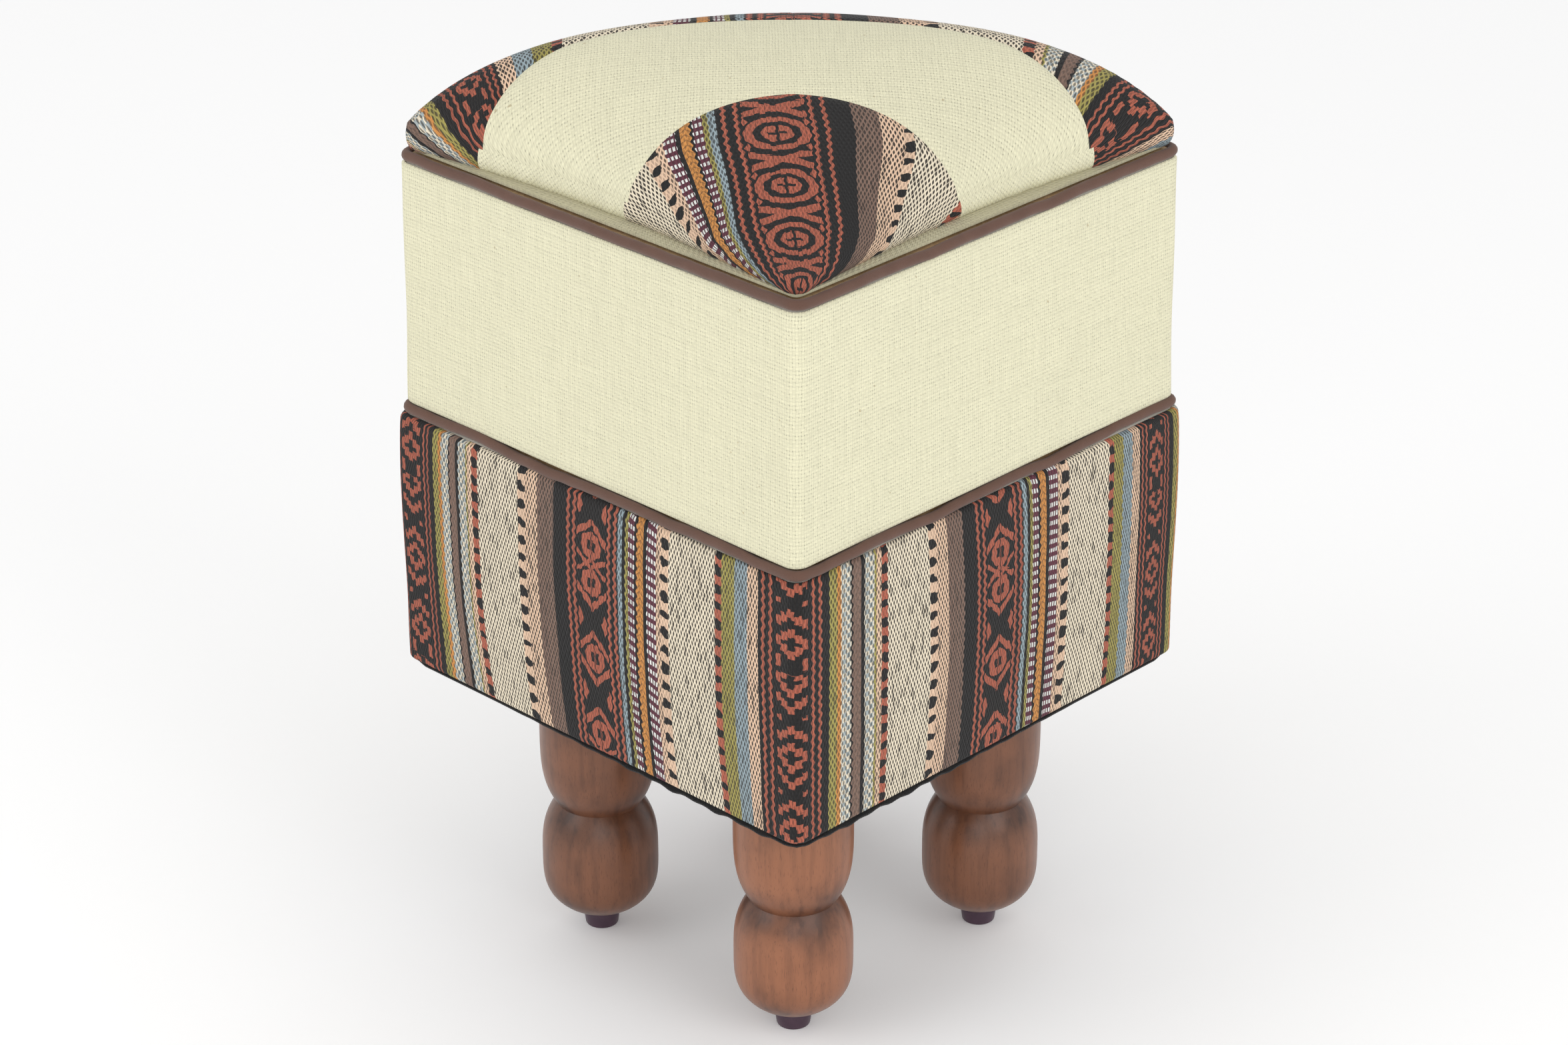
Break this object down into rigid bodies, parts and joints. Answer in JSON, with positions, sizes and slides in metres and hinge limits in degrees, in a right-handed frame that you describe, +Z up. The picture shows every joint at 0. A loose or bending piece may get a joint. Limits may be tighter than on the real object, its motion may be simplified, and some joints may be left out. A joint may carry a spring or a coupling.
{
  "type": "storage footstool",
  "caption": "Square upholstered storage footstool on turned legs: a padded lift-off lid over a lined box, with a plain band above a kilim band and piping at each edge.",
  "frame": {"origin": "on the floor, under the middle of the stool", "axes": "+Z up; +X to the right side; -Y to the front; the corner at (+X, -Y) is the one that the arch on the lid springs from"},
  "size_m": [0.3082, 0.3082, 0.5452],
  "materials": {
    "plywood": "sanded birch plywood, unfinished",
    "turned_wood": "mid walnut stain under a satin lacquer, worn",
    "kilim_cloth": "striped flat-woven kilim in rust, black, cream, olive, blue and maroon",
    "cream_cloth": "plain slubby woven cotton in pale cream",
    "piping_cloth": "brown cotton over cord",
    "lining_cloth": "plain calico",
    "dust_cloth": "thin black bonded cloth",
    "wadding": "soft cotton wadding",
    "foam": "upholstery foam under wadding",
    "glide_plastic": "dark plum moulded plastic",
    "steel": "zinc plated"
  },
  "bodies": {
    "carcass": {"front_panel": "plywood", "back_panel": "plywood", "left_panel": "plywood", "right_panel": "plywood", "base_panel": "plywood", "corner_block_front_right": "plywood", "corner_block_front_left": "plywood", "corner_block_back_right": "plywood", "corner_block_back_left": "plywood", "leg_front_right": "turned_wood", "foot_glide_front_right": "glide_plastic", "glide_nail_front_right": "steel", "hanger_bolt_front_right": "steel", "tee_nut_front_right": "steel", "leg_front_left": "turned_wood", "foot_glide_front_left": "glide_plastic", "glide_nail_front_left": "steel", "hanger_bolt_front_left": "steel", "tee_nut_front_left": "steel", "leg_back_right": "turned_wood", "foot_glide_back_right": "glide_plastic", "glide_nail_back_right": "steel", "hanger_bolt_back_right": "steel", "tee_nut_back_right": "steel", "leg_back_left": "turned_wood", "foot_glide_back_left": "glide_plastic", "glide_nail_back_left": "steel", "hanger_bolt_back_left": "steel", "tee_nut_back_left": "steel", "upper_padding": "wadding", "lower_padding": "wadding", "upper_cover": "cream_cloth", "lower_cover": "kilim_cloth", "rim_facing": "cream_cloth", "upper_piping": "piping_cloth", "lower_piping": "piping_cloth", "storage_lining": "lining_cloth", "dust_cover": "dust_cloth"},
    "lid": {"lid_board": "plywood", "lid_foam": "foam", "lid_front_patch": "kilim_cloth", "lid_arch_band": "cream_cloth", "lid_back_panel": "kilim_cloth", "lid_under_cloth": "lining_cloth", "lid_batten_front": "plywood", "lid_batten_right": "plywood", "lid_batten_back": "plywood", "lid_batten_left": "plywood", "batten_screw_front_a": "steel", "batten_screw_front_b": "steel", "batten_screw_right_a": "steel", "batten_screw_right_b": "steel", "batten_screw_back_a": "steel", "batten_screw_back_b": "steel", "batten_screw_left_a": "steel", "batten_screw_left_b": "steel"}
  },
  "joints": [
    {"name": "lid_lift", "type": "slide", "parent": "carcass", "child": "lid", "axis": [0, 0, 1], "range_m": [0, 0.3]}
  ]
}
